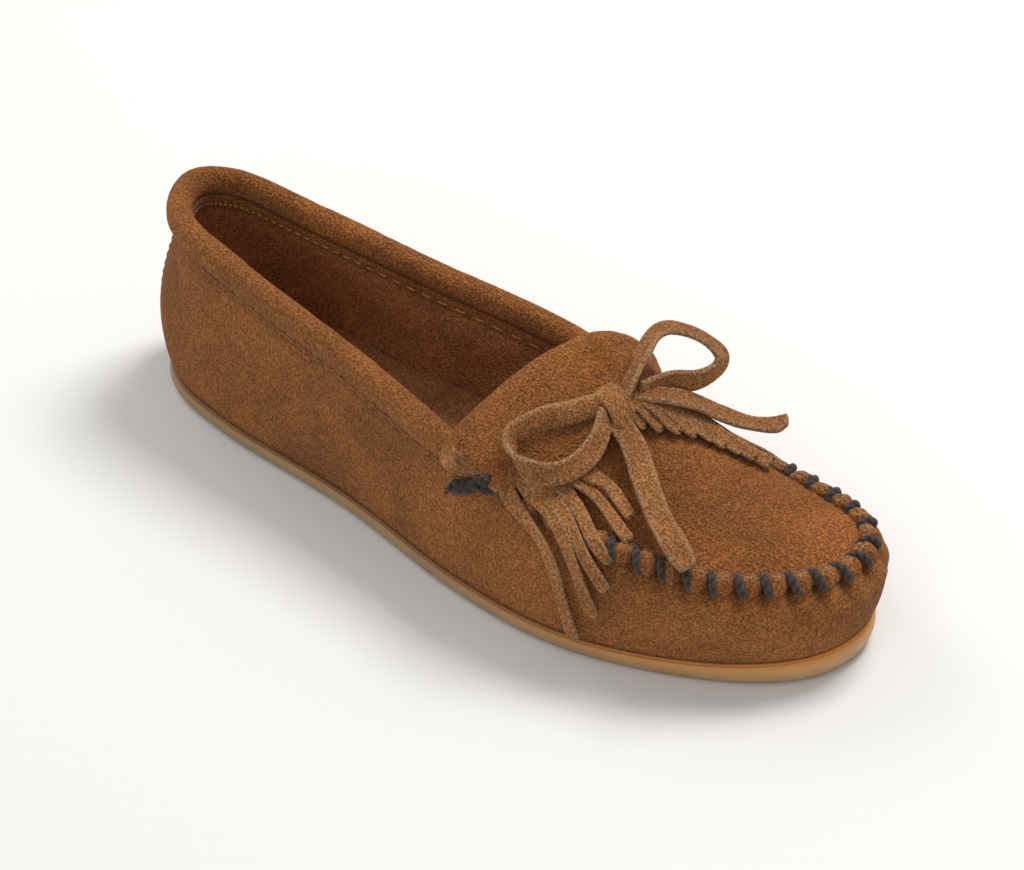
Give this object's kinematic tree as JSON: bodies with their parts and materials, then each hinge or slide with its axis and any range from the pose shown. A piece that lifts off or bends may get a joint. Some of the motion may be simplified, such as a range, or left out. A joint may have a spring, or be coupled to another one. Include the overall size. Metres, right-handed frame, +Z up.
{
  "type": "moccasin",
  "caption": "Slip-on suede moccasin shoe with a padded collar, hand-stitched gathered apron, folded fringe flap with a lace bow, and a thin rubber sole.",
  "frame": {"origin": "on the floor, under the middle of the shoe's length and width", "axes": "+X to the toe, +Y to the inner (medial) side of this right shoe, +Z up"},
  "size_m": [0.2544, 0.0921, 0.075],
  "materials": {
    "sole": "moulded rubber, satin, slightly translucent tan",
    "crepe": "amber crepe rubber, slightly glossy",
    "board": "matt fibre board",
    "foam": "open foam, matt",
    "lining": "soft brown split suede, matt",
    "suede": "brown suede with a short brushed nap",
    "lace": "cut suede thong with paler raw edges",
    "stitching": "tone-on-tone sewing thread",
    "dark_thread": "waxed charcoal navy thread, matt"
  },
  "bodies": {
    "root": {"outsole": "sole", "crepe_band": "crepe", "insole_board": "board", "insole_foam": "foam", "sock_liner": "lining", "vamp_wrap": "suede", "quarter_lining": "lining", "heel_counter": "board", "heel_backstay": "suede", "backstay_stitches": "stitching", "collar_cuff": "suede", "collar_padding": "foam", "collar_lace": "lace", "collar_stitch_outer": "stitching", "collar_stitch_inner": "stitching", "apron": "suede", "apron_lining": "lining", "gathered_edge": "suede", "whip_stitching": "dark_thread", "whip_knot": "dark_thread", "kiltie_flap": "suede", "fringe_lateral": "suede", "fringe_medial": "suede", "lace_run_lateral": "lace", "lace_run_medial": "lace", "bow_knot": "lace", "lace_loop_lateral": "lace", "lace_loop_medial": "lace", "lace_tail_lateral": "lace", "lace_tail_medial": "lace"}
  },
  "joints": []
}
